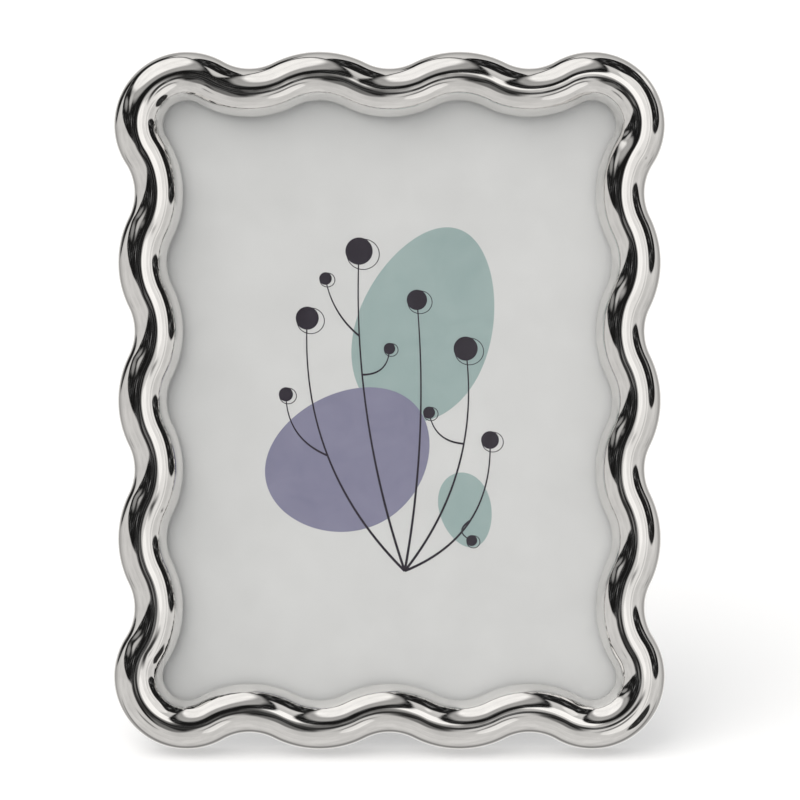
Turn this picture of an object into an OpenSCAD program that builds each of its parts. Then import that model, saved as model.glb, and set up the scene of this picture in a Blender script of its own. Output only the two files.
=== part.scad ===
// Wavy metal photo frame that stands on an easel leg or hangs on a nail, for a 6 by 8 inch picture.
// Each piece is drawn with the frame lying flat: X across the picture, Y up it, Z towards the viewer,
// and the back of the moulding at Z = 0. stand() then leans the frame back on its open leg.

/* [Frame] */
// How far the frame's corners stand out past the glass at each side
side_margin = 14; // [11.5:0.1:17]
// How far the frame's crests stand out past the glass at the top and bottom
end_margin = 12.6; // [10.5:0.1:15]
// How far the lip covers the glass at the corners
lip_hold = 2; // [1.5:0.1:4]
// Depth of a wave, from crest to dip
wave_depth = 5.35; // [3:0.05:8]
// Radius of the moulding's centre line round a corner
corner_r = 15.9; // [12:0.1:20]
// How far the corners stand out past the crests of the long sides
corner_out = 1.3; // [0:0.1:3]
// Lean of the standing frame from upright, in degrees
lean_angle = 15; // [10:0.5:20]

/* [Profile] */
// Width of the steep slope between the rounded crown and the sight edge
slope_w = 1.2; // [0.6:0.05:3]
// Slope of that inner face down to the glass, in degrees
slope_angle = 65; // [50:1:75]
// Thickness of the lip over the glass
lip_t = 1.5; // [0.8:0.05:2.5]

/* [Glass, picture and back] */
// Width of the glass and of the picture
pane_w = 152.4; // [90:0.1:220]
// Height of the glass and of the picture
pane_h = 203.2; // [120:0.1:280]
// Thickness of the glass
pane_t = 2; // [1.5:0.1:3]
// Thickness of the printed sheet
print_t = 0.3; // [0.2:0.05:0.6]
// Thickness of the filler card behind the print
filler_t = 1.3; // [0.8:0.1:3]
// Thickness of the back board
board_t = 3; // [2.5:0.1:4]
// Thickness of the lining on the back board
lining_t = 0.4; // [0.2:0.05:0.8]
// Gap between the glass and each wall of the rebate
pane_clear = 0.6; // [0.3:0.1:1.2]
// How much shorter than the glass the sheets behind it are, at each edge
sheet_trim = 0.4; // [0.2:0.1:1]

/* [Easel leg] */
// Height of the leg's hinge up the back, as a share of the frame's height
hinge_share = 0.61; // [0.5:0.01:0.7]
// Opening of the leg from the back board, in degrees
open_angle = 23; // [20:0.5:30]
// Thickness of the leg
leg_t = 3; // [2:0.1:4]
// Width of the leg at the hinge
leg_top_w = 27; // [22:0.5:34]
// Width of the leg at its foot
leg_foot_w = 40; // [30:0.5:60]
// Corner cut at the top of the leg
leg_clip = 3.5; // [1:0.1:6]

/* [Hinge] */
// Width of the hinge
hinge_w = 30; // [24:0.5:40]
// Width of the middle knuckle, as a share of the hinge
middle_share = 0.42; // [0.3:0.01:0.5]
// Thickness of the hinge plates
leaf_t = 0.8; // [0.6:0.05:1.2]
// Radius of a knuckle
knuckle_r = 2; // [1.7:0.05:2.6]
// Radius of the hinge pin
pin_r = 0.9; // [0.7:0.05:1.1]
// Radius of the pin's riveted ends
pin_head_r = 1.5; // [1.2:0.05:1.7]
// Length of each riveted end
pin_head_t = 0.5; // [0.3:0.05:1]
// Running gap round the pin
pin_clear = 0.05; // [0.02:0.01:0.1]
// Gap between knuckles, and between a knuckle and the plate opposite
knuckle_clear = 0.4; // [0.3:0.05:0.6]
// Gap left at the stop that holds the open leg
stop_clear = 0.05; // [0.02:0.01:0.1]
// Length of the plate on the leg
leg_leaf_len = 26; // [20:0.5:36]

/* [Rivets and nails] */
// Radius of a rivet's shank
rivet_r = 1.2; // [0.9:0.05:1.6]
// Radius of a rivet's head
rivet_head_r = 2.2; // [1.8:0.05:2.8]
// Thickness of a rivet's head
rivet_head_t = 0.7; // [0.5:0.05:1]
// Distance of a rivet from the edge of its plate
rivet_edge = 3.8; // [3.2:0.1:5]
// Radius of a nail's shank
nail_r = 0.6; // [0.4:0.05:0.8]
// Radius of a nail's head
nail_head_r = 1.5; // [1:0.05:2]
// Thickness of a nail's head
nail_head_t = 0.5; // [0.3:0.05:0.8]
// Length of nail driven into the board
nail_len = 2.4; // [1.5:0.1:2.8]
// Gap round the shanks of rivets, nails and screws
shank_clear = 0.05; // [0.02:0.01:0.1]

/* [Turn buttons] */
// Reach of a turn button from its screw to its tip
button_reach = 14; // [11:0.1:18]
// Width of a turn button
button_w = 8; // [6.5:0.1:10]
// Thickness of a turn button
button_t = 0.7; // [0.5:0.05:1.2]
// Gap between a turn button and the back it turns over
button_clear = 0.1; // [0.05:0.01:0.3]
// Radius of the screw's shank
screw_r = 1.45; // [1.2:0.05:1.8]
// Radius of the screw's head
screw_head_r = 2.9; // [2.4:0.05:3.4]
// Thickness of the screw's head
screw_head_t = 1.5; // [1:0.1:2]
// Length of screw driven into the moulding
screw_len = 6.5; // [4:0.1:8]
// Width of the slot across the screw's head
slot_w = 0.7; // [0.5:0.05:1]
// Depth of the slot across the screw's head
slot_d = 0.8; // [0.4:0.05:0.9]

/* [Hangers] */
// Length of a sawtooth hanger
hanger_len = 46; // [38:0.5:60]
// Width of a sawtooth hanger
hanger_w = 9; // [7.5:0.1:12]
// Thickness of the hanger's strip
hanger_t = 0.8; // [0.6:0.05:1.2]
// Length of each nailed end
hanger_pad = 6.5; // [5:0.1:8]
// Height of the toothed middle above the back
hanger_rise = 1.6; // [1.2:0.1:2.5]
// Depth of a tooth
tooth_d = 1.6; // [1:0.1:2.2]
// Distance from a hanger's middle to the edge of the board
hanger_edge = 17; // [14:0.5:30]

/* [Hidden] */
$fn = 96;
// Crests between the corners of a long side and of a short side.
side_crests = 3;
end_crests = 2;
// Half pitches that the stretch from the last crest to the corner is worth.
end_share = 0.95;
// Teeth of a hanger.
teeth = 9;
// Every cut runs past its solid by this much.
overrun = 1;
// Wave angles are whole steps of this, and positions are drawn as whole steps plus a remainder,
// so that neighbouring arcs meet exactly.
angle_step = 0.01;
place_step = 0.001;
quarter_angle = 90;

frame_w = pane_w + 2 * side_margin;
frame_h = pane_h + 2 * end_margin;
half_h = frame_h / 2;
moulding_w = side_margin + lip_hold;
half_w = moulding_w / 2;
rebate_w = pane_w + 2 * pane_clear;
rebate_h = pane_h + 2 * pane_clear;
board_z = lining_t;
filler_z = board_z + board_t;
print_z = filler_z + filler_t;
pane_z = print_z + print_t;
rebate_d = pane_z + pane_t;
sheet_w = pane_w - 2 * sheet_trim;
sheet_h = pane_h - 2 * sheet_trim;

lip_v = rebate_d + lip_t;
crown_r = (moulding_w - slope_w) / (1 + sin(slope_angle));
crown_u = half_w - crown_r;
slope_u = slope_w - half_w;
slope_v = lip_v + slope_w * tan(slope_angle);
crown_v = slope_v - crown_r * cos(slope_angle);
corner_x = frame_w / 2 - half_w - corner_r;
corner_y = half_h - half_w - corner_r;

axis_z = knuckle_r + leaf_t + knuckle_clear;
axis_y = hinge_share * frame_h - half_h;
leg_tilt = open_angle - lean_angle;
axis_rise = (half_h + axis_y) * cos(lean_angle) - axis_z * sin(lean_angle);
leg_reach = axis_rise / cos(leg_tilt) + leg_t;
leg_back = knuckle_r - leaf_t;
leg_top = knuckle_r + 2 * knuckle_clear;
middle_w = middle_share * hinge_w;
tail_len = (axis_z - leaf_t + knuckle_r * cos(open_angle)) / sin(open_angle);
board_leaf_len = tail_len + 2 * rivet_edge;
pin_len = hinge_w + 2 * knuckle_clear;
rivet_x = hinge_w / 2 - rivet_edge;
clinch_r = rivet_head_r - shank_clear;
board_rivets_y = [axis_y + knuckle_r + rivet_edge, axis_y + board_leaf_len - rivet_edge];
leg_rivets_u = [leg_top + leg_clip + rivet_edge, leg_leaf_len - rivet_edge];

button_r = button_w / 2;
screw_x = (rebate_w / 2 + frame_w / 2 - corner_out) / 2;
screw_pitch = 2 * half_pitch(corner_y, side_crests, corner_out);
head_z = 2 * button_clear + button_t;

nail_x = hanger_len / 2 - hanger_pad / 2;
bridge_half = hanger_len / 2 - hanger_pad;
hanger_places = [[0, sheet_h / 2 - hanger_edge], [hanger_edge - sheet_w / 2, 0]];

front_y = -(half_h - crown_r) * sin(lean_angle) - crown_v * cos(lean_angle) - crown_r;
foot_y = axis_y * sin(lean_angle) + axis_z * cos(lean_angle)
    + axis_rise * tan(leg_tilt) + leg_back / cos(leg_tilt);
back_y = max(half_h * sin(lean_angle), foot_y);

function to_step(v, step) = round(v / step) * step;
// How far a crest or dip swings either side of its middle.
function swing(run, crests) =
    to_step(2 * atan(wave_depth * (crests + end_share) / run), angle_step);
// How far the last dip swings, so that the corner's arc meets it with no straight between them.
function end_swing(run, crests, out) =
    let (r = wave_depth / (2 * (1 - cos(swing(run, crests)))))
    to_step(acos(1 - (wave_depth + out) / (r + corner_r)), angle_step);
// The wave's radius that makes a whole run of crests and dips end at the corner's centre.
function wave_r(run, crests, out) =
    (run - corner_r * sin(end_swing(run, crests, out)))
    / (2 * crests * sin(swing(run, crests)) + sin(end_swing(run, crests, out)));
function half_pitch(run, crests, out) =
    2 * wave_r(run, crests, out) * sin(swing(run, crests));

module put(v) {
    near = [for (c = v) to_step(c, place_step)];
    translate(near) translate(v - near) children();
}

module stand() {
    translate([0, -(front_y + back_y) / 2, half_h * cos(lean_angle)])
        rotate([quarter_angle - lean_angle, 0, 0]) children();
}

// Everything below the table that the standing frame rests on.
module below_table() {
    translate([0, -half_h, 0]) rotate([lean_angle - quarter_angle, 0, 0])
        translate([-frame_w / 2, -frame_h / 2, -frame_h]) cube([frame_w, frame_h, frame_h]);
}

// Moves a piece from the hinge's axis, folded against the back, to its open place.
module opened() {
    translate([0, axis_y, -axis_z]) rotate([open_angle, 0, 0]) children();
}

module profile() {
    intersection() {
        translate([crown_u, crown_v]) circle(r = crown_r);
        translate([-half_w, 0]) square([moulding_w, crown_v + crown_r]);
    }
    polygon([[half_w, 0], [half_w, crown_v], [crown_u, crown_v],
        [slope_u, slope_v], [-half_w, lip_v], [-half_w, 0]]);
}

module crest(r, from, to) {
    rotate_extrude(start = from, angle = to - from) put([r, 0]) profile();
}

module dip(r, from, to) {
    rotate_extrude(start = from, angle = to - from) put([r, 0]) mirror([1, 0]) profile();
}

module wavy_run(run, crests, out, corner_level) {
    r = wave_r(run, crests, out);
    turn = swing(run, crests);
    last = end_swing(run, crests, out);
    pitch = half_pitch(run, crests, out);
    low = corner_level - (r + corner_r) * (1 - cos(last));
    high = low + 2 * r * (1 - cos(turn));
    for (i = [0 : crests])
        put([(2 * i - crests) * pitch, low + r, 0])
            dip(r, 3 * quarter_angle - (i == 0 ? last : turn),
                3 * quarter_angle + (i == crests ? last : turn));
    for (i = [0 : crests - 1])
        put([(2 * i - crests + 1) * pitch, high - r, 0])
            crest(r, quarter_angle - turn, quarter_angle + turn);
}

module at_screws() {
    for (side = [-1, 1]) for (i = [-1 : 1])
        translate([side * screw_x, i * screw_pitch, 0]) children();
}

module frame_moulding() {
    color([0.80, 0.80, 0.82]) stand() difference() {
        union() {
            for (end = [0, 1]) mirror([0, end, 0])
                wavy_run(corner_x, end_crests, 0, corner_y + corner_r);
            for (side = [0, 1]) mirror([side, 0, 0]) rotate([0, 0, -quarter_angle])
                wavy_run(corner_y, side_crests, corner_out, corner_x + corner_r);
            for (side = [0, 1]) mirror([side, 0, 0]) for (end = [0, 1]) mirror([0, end, 0])
                put([corner_x, corner_y, 0])
                    crest(corner_r, -end_swing(corner_y, side_crests, corner_out),
                        quarter_angle + end_swing(corner_x, end_crests, 0));
        }
        translate([-rebate_w / 2, -rebate_h / 2, -overrun])
            cube([rebate_w, rebate_h, rebate_d + overrun]);
        at_screws() translate([0, 0, -overrun])
            cylinder(r = screw_r + shank_clear, h = screw_len + shank_clear + overrun);
    }
}

module sheet(w, h, z, t) {
    translate([-w / 2, -h / 2, z]) cube([w, h, t]);
}

module glass_pane() {
    color([0.80, 0.90, 0.88, 0.3]) stand() sheet(pane_w, pane_h, pane_z, pane_t);
}

module picture_print() {
    color([0.82, 0.82, 0.80]) stand() sheet(sheet_w, sheet_h, print_z, print_t);
}

module filler_card() {
    color([0.86, 0.84, 0.78]) stand() sheet(sheet_w, sheet_h, filler_z, filler_t);
}

module at_board_rivets() {
    for (side = [-1, 1]) for (y = board_rivets_y)
        translate([side * rivet_x, y, 0]) children();
}

// The second hanger is a quarter turn round from the first.
module at_hanger(i) {
    translate(hanger_places[i]) rotate([0, 0, i * quarter_angle]) children();
}

module at_nails() {
    for (i = [0, 1]) at_hanger(i)
        for (side = [-1, 1]) translate([side * nail_x, 0, 0]) children();
}

module back_board() {
    color([0.62, 0.48, 0.33]) stand() difference() {
        sheet(sheet_w, sheet_h, board_z, board_t);
        at_board_rivets() {
            translate([0, 0, board_z - overrun])
                cylinder(r = rivet_r + shank_clear, h = board_t + 2 * overrun);
            translate([0, 0, filler_z - rivet_head_t])
                cylinder(r = rivet_head_r, h = rivet_head_t + overrun);
        }
        at_nails() translate([0, 0, board_z - overrun])
            cylinder(r = nail_r + shank_clear, h = nail_len - board_z + shank_clear + overrun);
    }
}

module board_lining() {
    color([0.10, 0.10, 0.11]) stand() difference() {
        sheet(sheet_w, sheet_h, 0, lining_t);
        at_board_rivets() translate([0, 0, -overrun])
            cylinder(r = rivet_r + shank_clear, h = lining_t + 2 * overrun);
        at_nails() translate([0, 0, -overrun])
            cylinder(r = nail_r + shank_clear, h = lining_t + 2 * overrun);
    }
}

// A cylinder along X, from one end to the other.
module rod(r, from, to) {
    translate([from, 0, 0]) rotate([0, quarter_angle, 0]) cylinder(r = r, h = to - from);
}

module hinge_board_leaf() {
    inner = middle_w / 2 + knuckle_clear;
    outer = hinge_w / 2;
    color([0.72, 0.72, 0.74]) stand() difference() {
        translate([0, axis_y, 0]) {
            translate([-outer, 0, -leaf_t]) cube([hinge_w, board_leaf_len, leaf_t]);
            for (side = [0, 1]) mirror([side, 0, 0]) {
                translate([0, 0, -axis_z]) rod(knuckle_r, inner, outer);
                translate([inner, 0, -axis_z]) cube([outer - inner, knuckle_r, axis_z]);
            }
        }
        translate([0, axis_y, -axis_z]) rod(pin_r + pin_clear, -hinge_w, hinge_w);
        at_board_rivets() translate([0, 0, -leaf_t - overrun])
            cylinder(r = rivet_r + shank_clear, h = leaf_t + 2 * overrun);
    }
}

module hinge_pin() {
    color([0.66, 0.66, 0.68]) stand() translate([0, axis_y, -axis_z]) {
        rod(pin_r, -pin_len / 2, pin_len / 2);
        for (side = [0, 1]) mirror([side, 0, 0])
            rod(pin_head_r, pin_len / 2, pin_len / 2 + pin_head_t);
    }
}

module board_rivets() {
    color([0.70, 0.70, 0.72]) stand() at_board_rivets() {
        translate([0, 0, -leaf_t - rivet_head_t]) cylinder(r = rivet_head_r, h = rivet_head_t);
        translate([0, 0, -leaf_t - rivet_head_t])
            cylinder(r = rivet_r, h = rivet_head_t + leaf_t + filler_z);
        translate([0, 0, filler_z - rivet_head_t]) cylinder(r = clinch_r, h = rivet_head_t);
    }
}

module at_leg_rivets() {
    for (u = leg_rivets_u) translate([0, -u, 0]) children();
}

module hinge_leg_leaf() {
    half = middle_w / 2;
    wide = leg_top_w / 2 - leg_clip;
    color([0.72, 0.72, 0.74]) stand() difference() {
        opened() difference() {
            union() {
                rod(knuckle_r, -half, half);
                translate([-half, -leg_leaf_len, -knuckle_r])
                    cube([middle_w, leg_leaf_len + tail_len + leaf_t, leaf_t]);
                translate([-wide, -leg_leaf_len, -knuckle_r])
                    cube([2 * wide, leg_leaf_len - leg_top, leaf_t]);
            }
            rod(pin_r + pin_clear, -hinge_w, hinge_w);
            at_leg_rivets() translate([0, 0, -knuckle_r - overrun])
                cylinder(r = rivet_r + shank_clear, h = leaf_t + 2 * overrun);
        }
        // The tail's end is cut parallel to the board's plate, and stops the open leg there.
        translate([-hinge_w / 2, axis_y, -leaf_t - stop_clear])
            cube([hinge_w, board_leaf_len + tail_len, axis_z + tail_len]);
    }
}

module leg_rivets() {
    front_z = leg_t - leg_back;
    color([0.70, 0.70, 0.72]) stand() opened() at_leg_rivets() {
        translate([0, 0, -knuckle_r - rivet_head_t]) cylinder(r = rivet_head_r, h = rivet_head_t);
        translate([0, 0, -knuckle_r - rivet_head_t])
            cylinder(r = rivet_r, h = rivet_head_t + knuckle_r + front_z);
        translate([0, 0, front_z - rivet_head_t]) cylinder(r = clinch_r, h = rivet_head_t);
    }
}

module easel_leg() {
    top_half = leg_top_w / 2;
    foot_half = leg_foot_w / 2;
    front_z = leg_t - leg_back;
    color([0.12, 0.12, 0.13]) stand() difference() {
        opened() difference() {
            translate([0, 0, -leg_back]) linear_extrude(leg_t)
                polygon([[leg_clip - top_half, -leg_top], [top_half - leg_clip, -leg_top],
                    [top_half, -leg_top - leg_clip], [foot_half, -leg_reach - leg_t],
                    [-foot_half, -leg_reach - leg_t], [-top_half, -leg_top - leg_clip]]);
            at_leg_rivets() {
                translate([0, 0, -leg_back - overrun])
                    cylinder(r = rivet_r + shank_clear, h = leg_t + 2 * overrun);
                translate([0, 0, front_z - rivet_head_t])
                    cylinder(r = rivet_head_r, h = rivet_head_t + overrun);
            }
        }
        below_table();
    }
}

// A turn button closed over the back board. side is -1 or 1, and row counts crests from the middle.
module turn_button(side, row) {
    straight = button_reach - button_r;
    color([0.74, 0.74, 0.76]) stand()
        translate([side * screw_x, row * screw_pitch, -button_clear - button_t])
            rotate([0, 0, (side + 1) * quarter_angle]) linear_extrude(button_t) difference() {
                union() {
                    circle(r = button_r);
                    translate([0, -button_r]) square([straight, button_w]);
                    translate([straight, 0]) circle(r = button_r);
                }
                circle(r = screw_r + shank_clear);
            }
}

module turn_button_left_low() { turn_button(-1, -1); }
module turn_button_left_mid() { turn_button(-1, 0); }
module turn_button_left_high() { turn_button(-1, 1); }
module turn_button_right_low() { turn_button(1, -1); }
module turn_button_right_mid() { turn_button(1, 0); }
module turn_button_right_high() { turn_button(1, 1); }

module button_screws() {
    color([0.70, 0.70, 0.72]) stand() at_screws() difference() {
        union() {
            translate([0, 0, -head_z]) cylinder(r = screw_r, h = head_z + screw_len);
            translate([0, 0, -head_z - screw_head_t])
                cylinder(r = screw_head_r, h = screw_head_t);
        }
        translate([-slot_w / 2, -screw_head_r - overrun, -head_z - screw_head_t - overrun])
            cube([slot_w, 2 * (screw_head_r + overrun), slot_d + overrun]);
    }
}

// A strip bridged up off the board, with a row of teeth along its lower edge.
module sawtooth(i) {
    ramp = hanger_rise;
    tooth_w = 2 * (bridge_half - ramp) / teeth;
    low_edge = -hanger_w / 2;
    color([0.78, 0.66, 0.36]) stand() at_hanger(i)
        difference() {
            rotate([quarter_angle, 0, 0]) translate([0, 0, -hanger_w / 2]) linear_extrude(hanger_w)
                polygon([[-hanger_len / 2, 0], [-bridge_half, 0],
                    [ramp - bridge_half, -hanger_rise], [bridge_half - ramp, -hanger_rise],
                    [bridge_half, 0], [hanger_len / 2, 0], [hanger_len / 2, -hanger_t],
                    [bridge_half + hanger_t / 2, -hanger_t],
                    [bridge_half - ramp + hanger_t / 2, -hanger_rise - hanger_t],
                    [ramp - bridge_half - hanger_t / 2, -hanger_rise - hanger_t],
                    [-bridge_half - hanger_t / 2, -hanger_t], [-hanger_len / 2, -hanger_t]]);
            for (tooth = [0 : teeth - 1])
                translate([ramp - bridge_half + tooth * tooth_w, 0, -hanger_rise - hanger_t - overrun])
                    linear_extrude(hanger_rise + hanger_t + overrun)
                        polygon([[0, low_edge - overrun], [0, low_edge],
                            [tooth_w / 2, low_edge + tooth_d], [tooth_w, low_edge],
                            [tooth_w, low_edge - overrun]]);
            for (side = [-1, 1]) translate([side * nail_x, 0, -hanger_t - overrun])
                cylinder(r = nail_r + shank_clear, h = hanger_t + 2 * overrun);
        }
}

module hanger_portrait() { sawtooth(0); }
module hanger_landscape() { sawtooth(1); }

module hanger_nails() {
    color([0.78, 0.66, 0.36]) stand() at_nails() {
        translate([0, 0, -hanger_t - nail_head_t]) cylinder(r = nail_head_r, h = nail_head_t);
        translate([0, 0, -hanger_t - nail_head_t])
            cylinder(r = nail_r, h = nail_head_t + hanger_t + nail_len);
    }
}

frame_moulding();
glass_pane();
picture_print();
filler_card();
back_board();
board_lining();
hinge_board_leaf();
hinge_pin();
board_rivets();
hinge_leg_leaf();
leg_rivets();
easel_leg();
turn_button_left_low();
turn_button_left_mid();
turn_button_left_high();
turn_button_right_low();
turn_button_right_mid();
turn_button_right_high();
button_screws();
hanger_portrait();
hanger_landscape();
hanger_nails();
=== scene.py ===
from math import acos, atan, atan2, cos, degrees, floor, hypot, pi, radians, sin, tan

import bpy
from mathutils import Matrix, Vector


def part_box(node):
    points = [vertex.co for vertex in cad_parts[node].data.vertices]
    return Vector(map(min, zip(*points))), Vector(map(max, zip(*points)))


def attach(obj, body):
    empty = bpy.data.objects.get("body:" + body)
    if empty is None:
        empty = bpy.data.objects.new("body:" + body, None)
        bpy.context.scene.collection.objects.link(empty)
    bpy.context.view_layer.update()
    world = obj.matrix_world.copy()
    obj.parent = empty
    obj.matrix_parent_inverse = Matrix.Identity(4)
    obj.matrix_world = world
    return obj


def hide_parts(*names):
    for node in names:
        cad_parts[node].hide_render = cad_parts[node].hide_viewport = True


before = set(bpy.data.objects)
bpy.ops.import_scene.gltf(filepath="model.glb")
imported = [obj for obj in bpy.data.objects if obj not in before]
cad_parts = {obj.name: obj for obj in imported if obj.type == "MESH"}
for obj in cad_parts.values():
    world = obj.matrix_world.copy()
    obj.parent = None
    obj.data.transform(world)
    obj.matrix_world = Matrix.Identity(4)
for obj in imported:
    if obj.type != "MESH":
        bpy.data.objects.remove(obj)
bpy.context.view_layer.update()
print("frame loaded")

mm = 0.001
tiny = 1e-6  # metres: nearer than this is touching
hair = 0.02 * mm  # metres: the room left where faces are picked by their place
near = 0.01  # millimetres: nearer than this is the same place
sides, rows = (-1, 1), (-1, 0, 1)  # left and right, and the three crests from low to high

# The pieces are built lying flat: X across the picture, Y up it, Z to the viewer, back at Z = 0.
# The glass says where the standing frame is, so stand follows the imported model.
standing = dict(lean=15, paneMiddle=6 * mm)
lean = radians(standing["lean"])
glassLow, glassHigh = [Vector(corner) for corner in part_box("glass_pane")]
faceTurn = Matrix(((1, 0, 0), (0, sin(lean), -cos(lean)), (0, cos(lean), sin(lean))))
stand = faceTurn.to_4x4()
stand.translation = (glassLow + glassHigh) / 2 - faceTurn @ Vector((0, 0, standing["paneMiddle"]))


# Camera: square to the picture, as in the photograph

camera = dict(distance=1.45, lens=199.5, sensor=36, near=0.01,
              offX=3.45 * mm, offY=0.13 * mm, faceZ=10 * mm)


def addCamera():
    bpy.ops.object.select_all(action="DESELECT")
    place = stand @ Vector((camera["offX"], camera["offY"], camera["faceZ"] + camera["distance"]))
    bpy.ops.object.camera_add(location=place, rotation=faceTurn.to_euler())
    view = bpy.context.object
    view.name = "photoCamera"
    view.data.lens = camera["lens"]
    view.data.sensor_width = camera["sensor"]
    view.data.clip_start = camera["near"]
    view.data.dof.use_dof = False
    bpy.context.scene.camera = view


addCamera()
print("camera placed")


# Modelling helpers

def dropSelection():
    if bpy.context.object and bpy.context.object.mode != "OBJECT":
        bpy.ops.object.mode_set(mode="OBJECT")
    bpy.ops.object.select_all(action="DESELECT")


def pick(*pieces):
    # The first of them is the active one.
    dropSelection()
    for piece in pieces:
        piece.select_set(True)
    bpy.context.view_layer.objects.active = pieces[0]


def nameIt(name):
    piece = bpy.context.object
    piece.name = name
    piece.data.name = name
    return piece


def applyPlace(piece):
    pick(piece)
    bpy.ops.object.transform_apply(location=True, rotation=True, scale=True)


def moveTo(piece, place):
    piece.matrix_world = place @ piece.matrix_world
    applyPlace(piece)


def at(x, y, turn=0):
    # A place on the flat frame, in millimetres and degrees
    move = Matrix.Translation((x * mm, y * mm, 0))
    return move @ Matrix.Rotation(radians(turn), 4, "Z")


def editAll(piece):
    pick(piece)
    bpy.ops.object.mode_set(mode="EDIT")
    bpy.ops.mesh.select_all(action="SELECT")


def editDone():
    bpy.ops.object.mode_set(mode="OBJECT")


def selectWhere(piece, test, mode="VERT"):
    # Selects the vertices, edges or faces that the test accepts, and stays in edit mode.
    pick(piece)
    bpy.ops.object.mode_set(mode="EDIT")
    bpy.ops.mesh.select_mode(type=mode)
    bpy.ops.mesh.select_all(action="DESELECT")
    editDone()
    mesh = piece.data
    for item in dict(VERT=mesh.vertices, EDGE=mesh.edges, FACE=mesh.polygons)[mode]:
        item.select = test(item)
    bpy.ops.object.mode_set(mode="EDIT")


def extrude(move):
    bpy.ops.mesh.extrude_region_move(TRANSFORM_OT_translate={"value": move})


def faceOut():
    bpy.ops.mesh.select_all(action="SELECT")
    bpy.ops.mesh.normals_make_consistent(inside=False)


def shapeWith(piece, kind, **settings):
    # Adds a modifier and applies it.
    pick(piece)
    step = piece.modifiers.new(kind.lower(), kind)
    for key, value in settings.items():
        setattr(step, key, value)
    bpy.ops.object.modifier_apply(modifier=step.name)


def combine(piece, other, operation="DIFFERENCE"):
    # Cuts the other piece away, or adds it.
    shapeWith(piece, "BOOLEAN", operation=operation, solver="EXACT", object=other)
    bpy.data.objects.remove(other)


def join(pieces, name):
    pick(*pieces)
    bpy.ops.object.join()
    return nameIt(name)


def smooth(piece, angle=30):
    # Smooth shading that leaves the flats flat beside their rounded edges
    pick(piece)
    bpy.ops.object.shade_smooth_by_angle(angle=radians(angle))
    shapeWith(piece, "WEIGHTED_NORMAL", keep_sharp=True)


def addBox(name, low, high):
    # Low and high corners in millimetres
    dropSelection()
    bpy.ops.mesh.primitive_cube_add(size=1, location=[(l + h) / 2 * mm for l, h in zip(low, high)],
                                    scale=[(h - l) * mm for l, h in zip(low, high)])
    piece = nameIt(name)
    applyPlace(piece)
    return piece


def addSlab(name, width, height, low, high, bevel, steps=2):
    # A sheet with its edges eased, in millimetres
    piece = addBox(name, (-width / 2, -height / 2, low), (width / 2, height / 2, high))
    editAll(piece)
    bpy.ops.mesh.bevel(offset=bevel * mm, segments=steps)
    editDone()
    return piece


# Node helpers

def feed(tree, socket, value):
    # Links an output to the socket, or sets the socket's own value.
    if isinstance(value, bpy.types.NodeSocket):
        tree.links.new(value, socket)
    else:
        socket.default_value = value


def addNode(tree, kind, *inputs, **values):
    # Attributes and inputs are given by name, with underscores for spaces, or inputs in order.
    node = tree.nodes.new(kind)
    for key, value in values.items():
        if hasattr(node, key):
            setattr(node, key, value)
        else:
            feed(tree, node.inputs[key.replace("_", " ")], value)
    for socket, value in zip(node.inputs, inputs):
        feed(tree, socket, value)
    return node


def calc(tree, operation, *values):
    return addNode(tree, "ShaderNodeMath", *values, operation=operation).outputs["Value"]


def noise(tree, point, scale, detail=4, rough=0.5, distortion=0, kind="Fac"):
    return addNode(tree, "ShaderNodeTexNoise", Vector=point, Scale=scale, Detail=detail,
                   Roughness=rough, Distortion=distortion).outputs[kind]


def ramp(tree, value, stops):
    node = addNode(tree, "ShaderNodeValToRGB", Fac=value)
    points = node.color_ramp.elements
    while len(points) < len(stops):
        points.new(0.5)
    for point, (place, colour) in zip(points, stops):
        point.position = place
        point.color = (*colour, 1)
    return node.outputs["Color"]


def span(tree, value, low, high, fromLow=0.3, fromHigh=0.7, **settings):
    return addNode(tree, "ShaderNodeMapRange", Value=value, From_Min=fromLow, From_Max=fromHigh,
                   To_Min=low, To_Max=high, **settings).outputs["Result"]


def mixColours(tree, under, over, factor=1, kind="MIX"):
    # Inputs 6 and 7 and output 2 are the Mix node's colours.
    node = addNode(tree, "ShaderNodeMix", data_type="RGBA", blend_type=kind, Factor=factor)
    feed(tree, node.inputs[6], under)
    feed(tree, node.inputs[7], over)
    return node.outputs[2]


def mixShaders(tree, share, first, second):
    return addNode(tree, "ShaderNodeMixShader", share, first, second).outputs["Shader"]


def emptyTree(owner):
    owner.use_nodes = True
    owner.node_tree.nodes.clear()
    return owner.node_tree


def pattern(tree, stretch=(1, 1, 1), cells=None, **settings):
    # A noise, or the edges of fine cells, in the piece's own coordinates
    point = addNode(tree, "ShaderNodeTexCoord").outputs["Object"]
    point = addNode(tree, "ShaderNodeMapping", Vector=point, Scale=stretch).outputs["Vector"]
    if cells is None:
        return noise(tree, point, **settings)
    return addNode(tree, "ShaderNodeTexVoronoi", feature="DISTANCE_TO_EDGE", Vector=point,
                   Scale=cells).outputs["Distance"]


# Finishes. Each runs from its dark tone to its light one over its mottle. Its roughness is even, or
# runs between two values over its gloss, and its grain raises it by (strength, depth in metres).

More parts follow.
